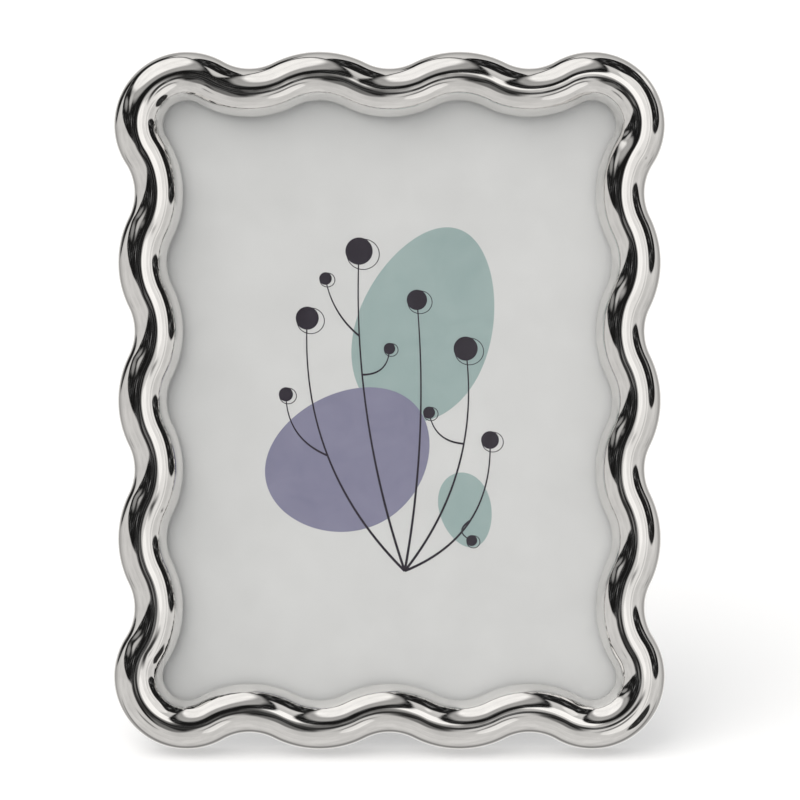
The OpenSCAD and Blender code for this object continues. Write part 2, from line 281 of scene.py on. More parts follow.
plating = dict(  # mirror plating: very faint waviness and a little uneven polish
    mottle=dict(scale=45, detail=3), dark=(0.835, 0.825, 0.812), light=(0.88, 0.87, 0.857),
    gloss=dict(scale=260, detail=5, rough=0.6), grain=dict(scale=70, detail=2),
    raised=(0.18, 0.0004), Metallic=1)
sand = dict(scale=1500, rough=0.6)
rolled = dict(stretch=(40, 900, 900), scale=9, detail=5, rough=0.7)
sheetMetal = dict(  # plated sheet or wire: rolled grain and faint stains
    mottle=dict(scale=160, detail=6, rough=0.55), ends=(0.25, 0.75), gloss=rolled, grain=rolled,
    raised=(0.06, 0.00004), Metallic=1)
wash = dict(scale=60, detail=6, rough=0.65, distortion=0.6)
printed = dict(  # ink with the mottling of a wash
    mottle=wash, roughness=0.7, grain=dict(scale=2600), raised=(0.15, 0.00005),
    Specular_IOR_Level=0.25)
worn = dict(scale=120, detail=6, rough=0.7)
flecks = dict(scale=1300, detail=6, rough=0.7)
fibres = dict(stretch=(1, 3, 1), scale=700, detail=6, rough=0.7)

finishes = dict(
    polishedPlate=dict(plating, roughness=(0.025, 0.06)),
    buffedPlate=dict(plating, roughness=(0.09, 0.15)),
    satinPlate=dict(  # the same plating where the casting isn't polished: the back and the rebate
        mottle=dict(scale=60), dark=(0.66, 0.66, 0.655), light=(0.71, 0.71, 0.705),
        gloss=sand, roughness=(0.34, 0.46), grain=sand, raised=(0.1, 0.0001), Metallic=1),
    paper=dict(
        mottle=dict(scale=55, detail=6, rough=0.65), dark=(0.692, 0.691, 0.688),
        light=(0.742, 0.741, 0.738), roughness=0.75, grain=dict(scale=2600),
        raised=(0.2, 0.00005), Specular_IOR_Level=0.25),
    lavenderInk=dict(printed, dark=(0.237, 0.232, 0.335), light=(0.29, 0.283, 0.39)),
    sageInk=dict(printed, dark=(0.335, 0.437, 0.43), light=(0.392, 0.492, 0.482)),
    darkInk=dict(printed, mottle=dict(wash, scale=110), dark=(0.026, 0.02, 0.03),
                 light=(0.04, 0.033, 0.047)),
    zincPlate=dict(sheetMetal, dark=(0.58, 0.59, 0.605), light=(0.65, 0.655, 0.665),
                   roughness=(0.26, 0.38)),
    nickelPlate=dict(sheetMetal, dark=(0.66, 0.645, 0.62), light=(0.72, 0.705, 0.68),
                     roughness=(0.18, 0.3)),
    brassedPlate=dict(sheetMetal, dark=(0.66, 0.46, 0.2), light=(0.74, 0.53, 0.25),
                      roughness=(0.22, 0.36)),
    flock=dict(  # dark velvet paper on the back
        mottle=dict(scale=900, detail=6, rough=0.7), dark=(0.017, 0.017, 0.019),
        light=(0.031, 0.031, 0.034), roughness=0.9, grain=dict(scale=4200, detail=3),
        raised=(0.5, 0.0002), Specular_IOR_Level=0.2, Sheen_Weight=0.5, Sheen_Roughness=0.4),
    coveredBoard=dict(  # the leg's grained paper
        mottle=worn, ends=(0.35, 0.75), dark=(0.017, 0.017, 0.018), light=(0.03, 0.029, 0.03),
        gloss=worn, roughness=(0.5, 0.68), grain=dict(cells=1400), raised=(0.6, 0.0003)),
    fibreboard=dict(
        mottle=flecks, dark=(0.2, 0.12, 0.065), light=(0.33, 0.21, 0.12), roughness=0.85,
        grain=flecks, raised=(0.4, 0.0002)),
    plainCard=dict(
        mottle=fibres, dark=(0.6, 0.56, 0.47), light=(0.7, 0.66, 0.57), roughness=0.85,
        grain=fibres, raised=(0.2, 0.0001)))


def addFinish(name, mottle, dark, light, roughness, grain, raised, ends=(0.3, 0.7), gloss=None,
              **sockets):
    material = bpy.data.materials.new(name)
    material.use_nodes = True
    tree = material.node_tree
    shader = tree.nodes["Principled BSDF"]
    tone = ramp(tree, pattern(tree, **mottle), list(zip(ends, (dark, light))))
    if gloss:
        roughness = span(tree, pattern(tree, **gloss), *roughness)
    strength, depth = raised
    raisedGrain = addNode(tree, "ShaderNodeBump", Height=pattern(tree, **grain),
                          Strength=strength, Distance=depth)
    sockets.update(Base_Color=tone, Roughness=roughness, Normal=raisedGrain.outputs["Normal"])
    for key, value in sockets.items():
        feed(tree, shader.inputs[key.replace("_", " ")], value)
    return material


finishOf = {name: addFinish(name, **settings) for name, settings in finishes.items()}
print("finishes made")


# Moulding: one section, carried round the wave by the spin tool

moulding = dict(
    waveDepth=5.35 * mm, cornerRadius=15.9 * mm, cornerOut=1.3 * mm, endShare=0.95,
    cornerX=66.3 * mm, cornerY=90.3 * mm, sideCrests=3, endCrests=2,
    width=16 * mm, slopeWidth=1.2 * mm, slopeAngle=65, lipFace=8.5 * mm,
    lipRound=0.5 * mm, backRound=0.4 * mm, edgeRound=0.15 * mm, crownStep=2.5, turnStep=2.0,
    rebateWidth=153.6 * mm, rebateHeight=204.4 * mm, rebateDepth=7 * mm,
    screwX=82.85 * mm, screwPitch=45.24352 * mm, screwHole=1.5 * mm, screwDepth=6.55 * mm,
    holeAround=32, overrun=1 * mm, seam=0.01 * mm,
    wallTilt=0.15, wallTop=6.5 * mm)  # what counts as the outer wall

screwSpots = [(side * moulding["screwX"], row * moulding["screwPitch"])
              for side in sides for row in rows]


def rounded(angle):
    # To a hundredth of a degree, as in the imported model
    return radians(round(degrees(angle), 2))


def swingOf(run, crests):
    # How far a crest or dip swings either side of its middle
    return rounded(2 * atan(moulding["waveDepth"] * (crests + moulding["endShare"]) / run))


def lastSwing(run, crests, out):
    # How far the last dip swings, so that it meets the corner's arc
    radius = moulding["waveDepth"] / (2 * (1 - cos(swingOf(run, crests))))
    return rounded(acos(1 - (moulding["waveDepth"] + out) / (radius + moulding["cornerRadius"])))


def halfSide(run, crests, out):
    # The arcs from the middle of a side to its corner as (turn, radius, angle): 1 turns left
    usual, last = swingOf(run, crests), lastSwing(run, crests, out)
    radius = (run - moulding["cornerRadius"] * sin(last)) / (2 * crests * sin(usual) + sin(last))
    turns = [(-1 if (crests - i) % 2 == 0 else 1) for i in range(crests + 1)]
    arcs = [(turn, radius, 2 * usual) for turn in turns]
    arcs[0] = (turns[0], radius, usual)
    arcs[-1] = (turns[-1], radius, usual + last)
    return arcs


def addSection(place, heading):
    # Draws the moulding's outline upright across the path.
    slope, slopeWidth = radians(moulding["slopeAngle"]), moulding["slopeWidth"]
    lip, lipRound, backRound = moulding["lipFace"], moulding["lipRound"], moulding["backRound"]
    crownR = (moulding["width"] - slopeWidth) / (1 + sin(slope))
    crownU = moulding["width"] / 2 - crownR
    crownV = lip + slopeWidth * tan(slope) - crownR * cos(slope)
    across = Vector((sin(heading), -cos(heading), 0))
    up = Vector((0, 0, 1))
    middle = place + across * crownU + up * crownV
    dropSelection()
    bpy.ops.mesh.primitive_circle_add(
        vertices=round(360 / moulding["crownStep"]), radius=crownR, location=middle,
        rotation=(pi / 2, 0, heading - pi / 2))
    piece = nameIt("wavyMoulding")
    applyPlace(piece)

    def onCrown(point, slack=0.1):
        away = point - middle
        turn = degrees(atan2(away.dot(up), away.dot(across)))
        return -slack < turn < 90 + moulding["slopeAngle"] + slack

    selectWhere(piece, lambda v: not onCrown(v.co))
    bpy.ops.mesh.delete(type="VERT")

    def extrudeFrom(start, *steps):
        selectWhere(piece, lambda v: (v.co - start).length < tiny)
        for u, v in steps:
            extrude(across * u + up * v)

    halfWall = (backRound - crownV) / 2
    extrudeFrom(middle + across * crownR, (0, halfWall), (0, halfWall), (-backRound, -backRound))
    lipSlant = Vector((-cos(slope), -sin(slope))) * lipRound
    lipRun = Vector((-slopeWidth, -slopeWidth * tan(slope))) - lipSlant
    lipTurn = Vector((lipSlant.x, lipSlant.y - lipRound))
    extrudeFrom(middle - across * crownR * sin(slope) + up * crownR * cos(slope),
                tuple(lipRun), tuple(lipTurn), (0, lipRound - lip))
    # The two open ends are joined along the back, and the lip and back corners are rounded.
    selectWhere(piece, lambda v: v.co.z < tiny)
    bpy.ops.mesh.edge_face_add()
    corners = (backRound, lip + lipRound * sin(slope), lip - lipRound)
    selectWhere(piece, lambda v: any(abs(v.co.z - height) < tiny for height in corners))
    bpy.ops.mesh.bevel(affect="VERTICES", offset=moulding["edgeRound"], segments=2)
    bpy.ops.mesh.select_all(action="SELECT")
    return piece


def addMoulding():
    # A quarter of the loop, from the middle of the bottom to the middle of the right side
    endRun = (moulding["cornerX"], moulding["endCrests"], 0)
    sideRun = (moulding["cornerY"], moulding["sideCrests"], moulding["cornerOut"])
    end, side, cornerR = halfSide(*endRun), halfSide(*sideRun), moulding["cornerRadius"]
    corner = [(1, cornerR, pi / 2 + lastSwing(*endRun) + lastSwing(*sideRun))]
    dipDepth = (end[0][1] + cornerR) * (1 - cos(lastSwing(*endRun)))
    heading = 0
    place = Vector((0, dipDepth - moulding["cornerY"] - cornerR, 0))
    piece = addSection(place, heading)
    for turn, radius, angle in end + corner + side[::-1]:
        centre = place + Vector((-sin(heading), cos(heading), 0)) * turn * radius
        # With no window the spin turns the other way.
        bpy.ops.mesh.spin(steps=max(2, round(degrees(angle) / moulding["turnStep"])),
                          angle=-turn * angle, center=centre, axis=(0, 0, 1))
        heading += turn * angle
        place = centre + Vector((sin(heading), -cos(heading), 0)) * turn * radius
    shapeWith(piece, "MIRROR", use_axis=(True, True, False), merge_threshold=2 * moulding["seam"])
    editAll(piece)
    bpy.ops.mesh.remove_doubles(threshold=moulding["seam"])
    faceOut()
    editDone()
    return piece


def addRebateCutter():
    width, height, over = moulding["rebateWidth"], moulding["rebateHeight"], moulding["overrun"]
    rebate, deep = moulding["rebateDepth"], moulding["screwDepth"]
    dropSelection()
    bpy.ops.mesh.primitive_cube_add(size=1, location=(0, 0, (rebate - over) / 2),
                                    scale=(width, height, rebate + over))
    cutters = [bpy.context.object]
    for x, y in screwSpots:
        dropSelection()
        bpy.ops.mesh.primitive_cylinder_add(
            vertices=moulding["holeAround"], radius=moulding["screwHole"], depth=deep + over,
            location=(x, y, (deep - over) / 2))
        cutters.append(bpy.context.object)
    cutter = join(cutters, "rebateCutter")
    applyPlace(cutter)
    return cutter


def isBehind(face):
    # The back face, and everything within the rebate or a screw hole
    place = face.center
    inRebate = (abs(place.x) < moulding["rebateWidth"] / 2 + hair
                and abs(place.y) < moulding["rebateHeight"] / 2 + hair
                and place.z < moulding["rebateDepth"] + hair)
    inHole = place.z < moulding["screwDepth"] + hair and any(
        hypot(place.x - x, place.y - y) < moulding["screwHole"] + hair for x, y in screwSpots)
    return place.z < hair or inRebate or inHole


def isOuterWall(face):
    upright = abs(face.normal.z) < moulding["wallTilt"]
    return upright and face.center.z < moulding["wallTop"] and not isBehind(face)


wavyMoulding = addMoulding()
combine(wavyMoulding, addRebateCutter())
for i, (name, test) in enumerate((("polishedPlate", None), ("satinPlate", isBehind),
                                  ("buffedPlate", isOuterWall))):
    wavyMoulding.data.materials.append(finishOf[name])
    if test:
        selectWhere(wavyMoulding, test, mode="FACE")
        wavyMoulding.active_material_index = i
        bpy.ops.object.material_slot_assign()
        editDone()
moveTo(wavyMoulding, stand)
smooth(wavyMoulding)
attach(wavyMoulding, "frame")
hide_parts("frame_moulding")
print("moulding made:", len(wavyMoulding.data.vertices), "vertices")


# Glass. From here on the lengths of pieces are in millimetres.

glass = dict(sheet=dict(width=152.4, height=203.2, low=5.03, high=6.97, bevel=0.25),
             tint=(0.995, 0.998, 0.997), shine=0.02, index=1.55)


def clearGlass():
    # See-through, and glossy on its outward faces only
    material = bpy.data.materials.new("clearGlass")
    tree = emptyTree(material)
    clear = addNode(tree, "ShaderNodeBsdfTransparent", Color=(*glass["tint"], 1))
    shine = addNode(tree, "ShaderNodeBsdfGlossy", Roughness=glass["shine"])
    edge = addNode(tree, "ShaderNodeFresnel", IOR=glass["index"])
    side = addNode(tree, "ShaderNodeNewGeometry")
    front = calc(tree, "SUBTRACT", 1, side.outputs["Backfacing"])
    share = calc(tree, "MULTIPLY", edge.outputs["Fac"], front)
    addNode(tree, "ShaderNodeOutputMaterial",
            Surface=mixShaders(tree, share, clear.outputs["BSDF"], shine.outputs["BSDF"]))
    return material


glassSheet = addSlab("glassSheet", **glass["sheet"])
moveTo(glassSheet, stand)
smooth(glassSheet)
glassSheet.data.materials.append(clearGlass())
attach(glassSheet, "frame")
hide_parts("glass_pane")
glassSheet.visible_shadow = False
print("glass made")


# Picture: a printed sheet with a plain design of rounded shapes, stems and seed heads

picture = dict(
    sheet=dict(width=151.6, height=202.4, low=4.72, high=4.9, bevel=0.03, steps=1),
    inkStep=0.02, patchThick=1.5, patchAround=96,
    # How many ink steps the first patch is sunk, and how much less each later one is
    sunk=0.5, lessSunk=0.2,
    patches=(
        dict(x=12, y=25, wide=22, tall=33, turn=-19, taper=-0.25, ink="sageInk"),
        dict(x=25, y=-36, wide=8.5, tall=12.5, turn=14, taper=0.2, ink="sageInk"),
        dict(x=-13, y=-20, wide=28, tall=22.5, turn=27, taper=0.2, ink="lavenderInk")),
    foot=(5, -56), stemWidth=0.34, twigShare=0.8, stemSteps=28, stemSwell=1.25, stemTaper=0.65,
    stemRaise=0.01, merge=0.001,
    # Each stem: where it ends, how far it bows, and the radius of its seed head
    stems=((-27, 27, 10, 4.4), (-10, 49, 5, 5.2), (9, 33, -3, 3.9), (25, 17, -8, 4.6),
           (33, -13, -9, 3.4)),
    # Each twig: the stem it leaves, how far up, where it ends, its bow and its seed head
    twigs=((0, 0.5, -34, 2, 4, 2.7), (1, 0.62, 0, 17, -3, 2.2), (1, 0.74, -21, 40, 2, 2.4),
           (3, 0.6, 13, -4, 3, 2.3), (4, 0.5, 27, -46, -3, 2.1)))
# A seed head is a disc and a ring a little aside from it, as shares of its radius.
seedHead = dict(disc=0.86, around=48, ring=1.02, wire=0.14, ringAround=56, wireAround=6,
                aside=0.26, down=0.2, squash=0.94, flat=0.08)


def addPatch(patch, z):
    # An egg-shaped patch of ink, a hair thicker than the paper
    dropSelection()
    bpy.ops.mesh.primitive_circle_add(vertices=picture["patchAround"], radius=1,
                                      fill_type="NGON")
    piece = bpy.context.object
    piece.scale = (patch["wide"] * mm, patch["tall"] * mm, 1)
    applyPlace(piece)
    shapeWith(piece, "SIMPLE_DEFORM", deform_method="TAPER", deform_axis="Y",
              factor=patch["taper"])
    editAll(piece)
    extrude((0, 0, picture["inkStep"] * picture["patchThick"] * mm))
    editDone()
    piece.location = (patch["x"] * mm, patch["y"] * mm, z * mm)
    piece.rotation_euler = (0, 0, radians(patch["turn"]))
    applyPlace(piece)
    piece.data.materials.append(finishOf[patch["ink"]])
    return piece


def bowed(start, end, bow, part):
    # A point on a stem: part runs from 0 to 1
    along = Vector(end) - Vector(start)
    aside = Vector((-along.y, along.x)).normalized()
    return Vector(start) + along * part + aside * bow * 4 * part * (1 - part)


def addStem(start, end, bow, z, width):
    # A drawn line that thins towards its tip: a flattened curve
    dropSelection()
    bpy.ops.curve.primitive_nurbs_path_add()
    curve = bpy.context.object.data
    curve.splines.clear()
    line = curve.splines.new("POLY")
    line.points.add(picture["stemSteps"])
    for i, point in enumerate(line.points):
        part = i / picture["stemSteps"]
        place = bowed(start, end, bow, part)
        point.co = (place.x * mm, place.y * mm, 0, 1)
        point.radius = picture["stemSwell"] - picture["stemTaper"] * part
    curve.bevel_depth = width * mm
    curve.bevel_resolution = 1
    curve.use_fill_caps = True
    bpy.ops.object.convert(target="MESH")
    piece = bpy.context.object
    editAll(piece)
    bpy.ops.mesh.remove_doubles(threshold=picture["merge"] * mm)
    editDone()
    piece.scale = (1, 1, picture["inkStep"] / (2 * width))
    piece.location = (0, 0, z * mm)
    applyPlace(piece)
    return piece


def addSeedHead(x, y, radius, z):
    dropSelection()
    bpy.ops.mesh.primitive_circle_add(
        vertices=seedHead["around"], radius=radius * seedHead["disc"] * mm, fill_type="NGON",
        location=(x * mm, y * mm, z * mm))
    disc = bpy.context.object
    editAll(disc)
    extrude((0, 0, picture["inkStep"] * mm))
    dropSelection()
    bpy.ops.mesh.primitive_torus_add(
        major_radius=radius * seedHead["ring"] * mm, minor_radius=seedHead["wire"] * mm,
        major_segments=seedHead["ringAround"], minor_segments=seedHead["wireAround"],
        location=((x + radius * seedHead["aside"]) * mm, (y - radius * seedHead["down"]) * mm,
                  (z + picture["inkStep"] / 2) * mm))
    ring = bpy.context.object
    ring.scale = (1, seedHead["squash"], seedHead["flat"])
    return [disc, ring]


def addPicture():
    paper = addSlab("pictureSheet", **picture["sheet"])
    paper.data.materials.append(finishOf["paper"])
    top, step, width = picture["sheet"]["high"], picture["inkStep"], picture["stemWidth"]
    patches = [addPatch(patch, top - step * (picture["sunk"] - picture["lessSunk"] * i))
               for i, patch in enumerate(picture["patches"])]
    z = top + step
    lines = []
    for x, y, bow, head in picture["stems"]:
        lines.append(addStem(picture["foot"], (x, y), bow, z + picture["stemRaise"], width))
        lines += addSeedHead(x, y, head, z)
    for stem, part, x, y, bow, head in picture["twigs"]:
        endX, endY, stemBow, _ = picture["stems"][stem]
        start = bowed(picture["foot"], (endX, endY), stemBow, part)
        lines.append(addStem(start, (x, y), bow, z + picture["stemRaise"],
                             width * picture["twigShare"]))
        lines += addSeedHead(x, y, head, z)
    for line in lines:
        applyPlace(line)
        line.data.materials.clear()
        line.data.materials.append(finishOf["darkInk"])
    sheet = join([paper] + patches + lines, "pictureSheet")
    editAll(sheet)
    faceOut()
    editDone()
    return sheet


pictureSheet = addPicture()
moveTo(pictureSheet, stand)
smooth(pictureSheet)
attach(pictureSheet, "frame")
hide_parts("picture_print")
print("picture made")


# Back and hardware: Z is below zero behind the moulding's back.

def finishPiece(piece, body, slot, finish, *nodes):
    smooth(piece, angle=35)
    piece.data.materials.clear()
    piece.data.materials.append(finishOf[finish])
    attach(piece, body)
    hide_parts(*nodes)


def addTurned(name, outline, around=40):
    # A turned piece: a disc drawn out and swelled or narrowed through each (radius, z)
    radius, z = outline[0]
    dropSelection()
    bpy.ops.mesh.primitive_circle_add(vertices=around, radius=radius * mm, fill_type="NGON",
                                      location=(0, 0, z * mm))
    piece = nameIt(name)
    applyPlace(piece)
    editAll(piece)
    for nextRadius, nextZ in outline[1:]:
        extrude((0, 0, (nextZ - z) * mm))
        share = nextRadius / radius
        bpy.ops.transform.resize(value=(share, share, 1), center_override=(0, 0, nextZ * mm))
        radius, z = nextRadius, nextZ
    faceOut()
    editDone()
    return piece


def domed(radius, base, thick, shares):
    # A rounded head's outline from its rim outwards, as shares of its radius and thickness
    return [(radius * r, base - thick * z) for r, z in shares]


def addRod(name, radius, start, end, z=0):
    # A round bar along X
    rod = addTurned(name, ((radius, start), (radius, end)))
    rod.rotation_euler = (0, pi / 2, 0)
    rod.location = (0, 0, z * mm)
    applyPlace(rod)
    return rod


def unite(pieces, name):
    for other in pieces[1:]:
        combine(pieces[0], other, "UNION")
    pick(pieces[0])
    return nameIt(name)


def ease(piece, width, steps=2, angle=40, sliver=0.005):
    # Rounds every edge that turns by more than the angle, and closes up the slivers this leaves.
    shapeWith(piece, "BEVEL", width=width * mm, segments=steps, limit_method="ANGLE",
              angle_limit=radians(angle))
    editAll(piece)
    bpy.ops.mesh.remove_doubles(threshold=sliver * mm)
    bpy.ops.mesh.dissolve_degenerate(threshold=sliver * mm)
    editDone()


def cutAcross(piece, point, normal, clear=True):
    # Cuts off what lies beyond a plane, or only marks a line across the piece there.
    editAll(piece)
    bpy.ops.mesh.bisect(plane_co=[c * mm for c in point], plane_no=normal, use_fill=clear,
                        clear_outer=clear, threshold=tiny)
    editDone()


def roundCorners(piece, radius, steps=5, test=lambda point: True):
    # Rounds the upright edges at a plate's corners, or clips them in one step.
    def isCorner(edge):
        start, end = [piece.data.vertices[i].co / mm for i in edge.vertices]
        return abs(start.x - end.x) < near and abs(start.y - end.y) < near and test(start)

    selectWhere(piece, isCorner, mode="EDGE")
    bpy.ops.mesh.bevel(offset=radius * mm, segments=steps)
    editDone()


def shift(piece, test, move):
    # Moves the vertices that the test accepts.
    selectWhere(piece, lambda v: test(v.co / mm))
    bpy.ops.transform.translate(value=[c * mm for c in move])
    editDone()


def copyTo(master, place):
    # A copy with a mesh of its own
    pick(master)
    bpy.ops.object.duplicate()
    piece = bpy.context.object
    moveTo(piece, place)
    return piece


def setOut(master, places, name):
    # Copies of one modelled piece, joined as a group
    copies = [copyTo(master, place) for place in places]
    bpy.data.objects.remove(master)
    return join(copies, name)


def drill(piece, places, *bores):
    # Holes at each place; a bore is its radius and where it starts and ends.
    for place in places:
        for radius, low, high in bores:
            cutter = addTurned("hole", ((radius, low), (radius, high)), around=32)
            moveTo(cutter, place)
            combine(piece, cutter)


# Easel leg and its hinge

hinge = dict(
    axisY=25.124, axisZ=3.2, width=30, middle=12.6, leaf=0.8, knuckle=2.0, gap=0.4, tail=10.854,
    boardLeaf=18.454, legLeaf=26, stop=0.05, corner=1.2, edge=0.12, bore=0.95,
    webIn=0.1, knuckleIn=0.02, stripIn=2,
    pin=0.9, pinHead=1.5, pinHeadThick=0.5, pinDome=((1, 0), (1, 0.25), (0.95, 0.6), (0.72, 1)))
leg = dict(open=23, thick=3.0, back=1.2, top=2.8, topWidth=27, footWidth=40, reach=141.06,
           clip=3.5, edge=0.5)
rivet = dict(shank=1.2, head=2.2, thick=0.7, edge=3.8, clinch=2.15, hole=1.25,
             dome=((1, 0), (0.97, 0.3), (0.8, 0.72), (0.5, 0.94), (0.2, 1)),
             clinchDome=((0.5, 0), (0.9, 0.1), (1, 0.25)))
backing = dict(width=151.6, height=202.4, lining=0.4, board=3.0, filler=1.3,
               liningEdge=0.15, boardEdge=0.2, fillerEdge=0.1)
overrun = 1  # how far cutters reach past what they cut

hingeAxis = Matrix.Translation((0, hinge["axisY"] * mm, -hinge["axisZ"] * mm))
openLeg = hingeAxis @ Matrix.Rotation(radians(leg["open"]), 4, "X")
boardFront = backing["lining"] + backing["board"]
legFront = leg["thick"] - leg["back"]
boardRivets = [at(side * (hinge["width"] / 2 - rivet["edge"]), y) for side in sides
               for y in (hinge["knuckle"] + rivet["edge"], hinge["boardLeaf"] - rivet["edge"])]
legRivets = [at(0, y) for y in (-leg["top"] - leg["clip"] - rivet["edge"],
                                rivet["edge"] - hinge["legLeaf"])]


def addLeg():
    half, back, top, reach = leg["topWidth"] / 2, leg["back"], leg["top"], leg["reach"]
    piece = addBox("easelLeg", (-half, -reach, -back), (half, -top, legFront))
    selectWhere(piece, lambda v: v.co.y < -reach * mm / 2)
    bpy.ops.transform.resize(value=(leg["footWidth"] / leg["topWidth"], 1, 1),
                             center_override=(0, 0, 0))
    roundCorners(piece, leg["clip"], steps=1, test=lambda point: point.y > -reach / 2)
    moveTo(piece, stand @ openLeg)
    cutAcross(piece, (0, 0, 0), (0, 0, -1))
    ease(piece, leg["edge"], steps=3)
    drill(piece, [stand @ openLeg @ place for place in legRivets],
          (rivet["hole"], -back - overrun, legFront + overrun),
          (rivet["head"], legFront - rivet["thick"], legFront + overrun))
    return piece


def addBoardLeaf():
    inner, outer = hinge["middle"] / 2 + hinge["gap"], hinge["width"] / 2
    leaf, knuckle, axisZ, webIn = hinge["leaf"], hinge["knuckle"], hinge["axisZ"], hinge["webIn"]
    plate = addBox("plate", (-outer, 0, -leaf), (outer, hinge["boardLeaf"], 0))
    roundCorners(plate, hinge["corner"], test=lambda point: point.y > near)
    pieces = [plate]
    for low, high in ((-outer, -inner), (inner, outer)):
        pieces.append(addBox("web", (low, webIn, -axisZ), (high, knuckle - webIn, -webIn)))
        pieces.append(addRod("knuckle", knuckle, low + hinge["knuckleIn"],
                             high - hinge["knuckleIn"], z=-axisZ))
    piece = unite(pieces, "hingeBoardLeaf")
    combine(piece, addRod("bore", hinge["bore"], -outer - overrun, outer + overrun, z=-axisZ))
    ease(piece, hinge["edge"])
    drill(piece, boardRivets, (rivet["hole"], -leaf - overrun, overrun))
    moveTo(piece, stand @ at(0, hinge["axisY"]))
    return piece


def addLegLeaf():
    half, wide, knuckle = hinge["middle"] / 2, leg["topWidth"] / 2 - leg["clip"], hinge["knuckle"]
    low, high = -knuckle, hinge["leaf"] - knuckle
    strip = addBox("strip", (-half, hinge["stripIn"] - hinge["legLeaf"], low),
                   (half, hinge["tail"] + hinge["leaf"], high))
    roundCorners(strip, hinge["corner"], test=lambda point: point.y > 0)
    plate = addBox("plate", (-wide, -hinge["legLeaf"], low), (wide, -leg["top"], high))
    roundCorners(plate, hinge["corner"])
    rod = addRod("knuckle", knuckle - hinge["knuckleIn"], hinge["knuckleIn"] - half,
                 half - hinge["knuckleIn"])
    piece = unite([strip, plate, rod], "hingeLegLeaf")
    combine(piece, addRod("bore", hinge["bore"], -half - overrun, half + overrun))
    moveTo(piece, openLeg)
    cutAcross(piece, (0, 0, -hinge["leaf"] - hinge["stop"]), (0, 0, 1))
    ease(piece, hinge["edge"])
    drill(piece, [openLeg @ place for place in legRivets],
          (rivet["hole"], low - overrun, high + overrun))
    moveTo(piece, stand)
    return piece


def addPin():
    half, thick = hinge["width"] / 2 + hinge["gap"], hinge["pinHeadThick"]
    end = [(hinge["pin"], half)] + domed(hinge["pinHead"], half, -thick, hinge["pinDome"])
    piece = addTurned("hingePin", [(r, -z) for r, z in end[::-1]] + end, around=32)
    piece.rotation_euler = (0, pi / 2, 0)
    applyPlace(piece)
    moveTo(piece, stand @ hingeAxis)
    return piece


def addRivet(name, under, over):
    # A domed head behind, and a flatter clinched one in front
    thick, clinch, shank = rivet["thick"], rivet["clinch"], rivet["shank"]
    return addTurned(name, domed(clinch, over, 1, rivet["clinchDome"]) + [
        (clinch, over - thick), (shank, over - thick), (shank, under)
    ] + domed(rivet["head"], under, thick, rivet["dome"]))


finishPiece(addLeg(), "leg", "leg_cover", "coveredBoard", "easel_leg")
finishPiece(addBoardLeaf(), "frame", "hinge_steel", "zincPlate", "hinge_board_leaf")
finishPiece(addLegLeaf(), "leg", "hinge_steel", "zincPlate", "hinge_leg_leaf")
finishPiece(addPin(), "frame", "hinge_steel", "zincPlate", "hinge_pin")
finishPiece(setOut(addRivet("boardRivet", -hinge["leaf"], boardFront),
                   [stand @ at(0, hinge["axisY"]) @ place for place in boardRivets],
                   "boardRivets"), "frame", "hinge_steel", "zincPlate", "board_rivets")
finishPiece(setOut(addRivet("legRivet", -hinge["knuckle"], legFront),
                   [stand @ openLeg @ place for place in legRivets],
                   "legRivets"), "leg", "hinge_steel", "zincPlate", "leg_rivets")
print("easel leg made")


# Turn buttons and their screws

button = dict(radius=4.0, straight=10, thick=0.7, gap=0.1, hole=1.5, lift=0.6, liftFrom=10.4,
              around=64, edge=0.16)
screw = dict(shank=1.45, length=6.5, point=1.2, head=2.9, seat=0.9, slotWidth=0.7, slotDepth=0.8,
             headThick=1.5, around=48, edge=0.05, edgeAngle=50,
             # The head's outline as shares of its radius and depths behind its seat
             dome=((0.97, 0), (1, 0.12), (1, 0.5), (0.95, 0.8), (0.8, 1.12), (0.55, 1.34),
                   (0.25, 1.5)),
             turns=(14, -38, 71, -9, 52, -64))


def addButton():
    # A disc drawn out to one side, thickened, holed, and lifted at the tip for a finger
    dropSelection()
    bpy.ops.mesh.primitive_circle_add(
        vertices=button["around"], radius=button["radius"] * mm, fill_type="NGON",
        location=(0, 0, -(button["gap"] + button["thick"]) * mm))
    piece = nameIt("turnButton")
    applyPlace(piece)
    shift(piece, lambda point: point.x > near, (button["straight"], 0, 0))
    editAll(piece)
    extrude((0, 0, button["thick"] * mm))
    faceOut()
    editDone()
    combine(piece, addTurned("hole", ((button["hole"], -overrun), (button["hole"], overrun))))
    cutAcross(piece, (button["liftFrom"], 0, 0), (1, 0, 0), clear=False)
    shift(piece, lambda point: point.x > button["liftFrom"] + near, (0, 0, -button["lift"]))
    ease(piece, button["edge"])
    return piece


def addScrew():
    length, shank, head, seat = screw["length"], screw["shank"], screw["head"], -screw["seat"]
    piece = addTurned("buttonScrew", [
        (shank / 2, length), (shank, length - screw["point"]), (shank, seat)
    ] + domed(head, seat, 1, screw["dome"]), around=screw["around"])
    top, reach, half = seat - screw["headThick"], head + overrun, screw["slotWidth"] / 2
    combine(piece, addBox("slot", (-half, -reach, top - overrun),
                          (half, reach, top + screw["slotDepth"])))
    ease(piece, screw["edge"], steps=1, angle=screw["edgeAngle"])
    return piece


